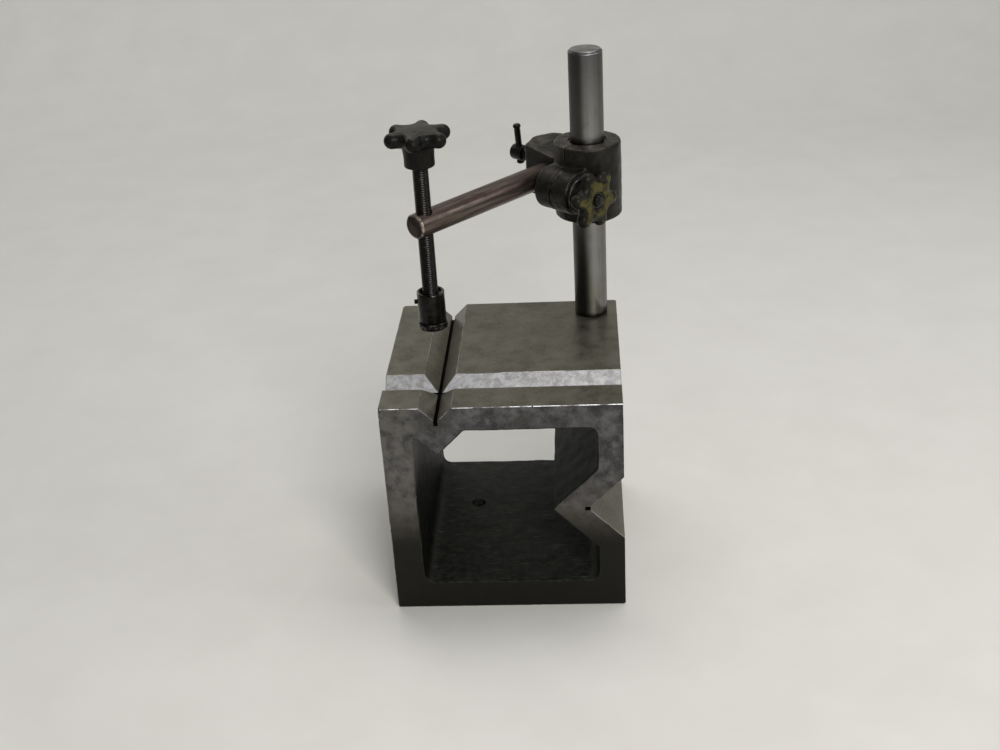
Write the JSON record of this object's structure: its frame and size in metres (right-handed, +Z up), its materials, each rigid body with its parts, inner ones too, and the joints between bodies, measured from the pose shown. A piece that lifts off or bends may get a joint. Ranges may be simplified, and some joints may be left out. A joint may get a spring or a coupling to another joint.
{
  "type": "v-block with clamp column",
  "caption": "Hollow cast V-block with a column, a swivelling split bracket, a sliding arm and a screw-down swivel shoe that holds work in the V.",
  "frame": {"origin": "centre of the block's underside", "axes": "+Z up along the column, +Y along the cavity towards the back, +X towards the side with the large V"},
  "size_m": [0.1545, 0.1935, 0.3325],
  "materials": {
    "cast_iron": "ground faces over a rough oily casting",
    "ground_steel": "ground and lightly oiled",
    "arm_steel": "brown, handled steel",
    "black_iron": "blackened casting with oil sheen",
    "black_steel": "blackened steel, oily",
    "knob_iron": "worn, oil-stained black over iron",
    "knob_black": "black, worn on the lobes",
    "bronze": "dull bronze"
  },
  "bodies": {
    "block": {"box_block": "cast_iron", "column": "ground_steel", "column_grub_screw": "black_steel"},
    "sleeve": {"split_sleeve": "bronze"},
    "bracket": {"bracket_casting": "black_iron", "clamp_stud": "black_steel", "stud_pin": "ground_steel"},
    "washer": {"clamp_washer": "ground_steel"},
    "clamp_knob": {"clamp_knob": "knob_iron", "clamp_knob_bush": "black_steel"},
    "pad": {"t_screw_pad": "bronze"},
    "t_screw": {"t_screw": "black_steel"},
    "tommy_bar": {"tommy_bar": "black_steel"},
    "arm": {"arm": "arm_steel"},
    "shoe": {"shoe_socket": "black_steel", "shoe_foot": "black_steel", "shoe_retaining_screw": "black_steel", "thrust_ball": "ground_steel"},
    "screw": {"clamp_screw": "black_steel", "top_knob": "knob_black", "top_knob_bush": "black_steel", "top_knob_pin": "ground_steel"}
  },
  "joints": [
    {"name": "bracket_height", "type": "slide", "parent": "block", "child": "sleeve", "axis": [0, 0, 1], "range_m": [-0.01, 0.058]},
    {"name": "bracket_swivel", "type": "hinge", "parent": "sleeve", "child": "bracket", "pos_m": [0.0575, 0.0575, 0.248], "axis": [0, 0, 1], "continuous": true},
    {"name": "clamp_knob_travel", "type": "slide", "parent": "bracket", "child": "washer", "axis": [0.7431, -0.6691, 0], "range_m": [0, 0.0025]},
    {"name": "clamp_knob_turn", "type": "hinge", "parent": "washer", "child": "clamp_knob", "pos_m": [0.05779, 0.02494, 0.245], "axis": [0.7431, -0.6691, 0], "range_deg": [0, 720]},
    {"name": "t_screw_travel", "type": "slide", "parent": "bracket", "child": "pad", "axis": [-0.7431, 0.6691, 0], "range_m": [0, 0.00375]},
    {"name": "t_screw_turn", "type": "hinge", "parent": "pad", "child": "t_screw", "pos_m": [0.01076, 0.1117, 0.248], "axis": [-0.7431, 0.6691, 0], "range_deg": [0, 1080]},
    {"name": "tommy_bar_slide", "type": "slide", "parent": "t_screw", "child": "tommy_bar", "axis": [-0.0583, -0.0648, 0.9962], "range_m": [-0.0118, 0]},
    {"name": "arm_slide", "type": "slide", "parent": "bracket", "child": "arm", "axis": [0.6691, 0.7431, 0], "range_m": [-0.02, 0.07]},
    {"name": "screw_travel", "type": "slide", "parent": "arm", "child": "shoe", "axis": [0, 0, 1], "range_m": [-0.015, 0.034]},
    {"name": "screw_turn", "type": "hinge", "parent": "shoe", "child": "screw", "pos_m": [-0.04383, -0.01409, 0.247], "axis": [0, 0, 1], "range_deg": [-3600, 8160]}
  ],
  "couplings": [
    {"joint": "clamp_knob_turn", "follows": "clamp_knob_travel", "rad_per_m": 5026.5},
    {"joint": "t_screw_turn", "follows": "t_screw_travel", "rad_per_m": 5026.5},
    {"joint": "screw_turn", "follows": "screw_travel", "rad_per_m": 4188.8}
  ]
}
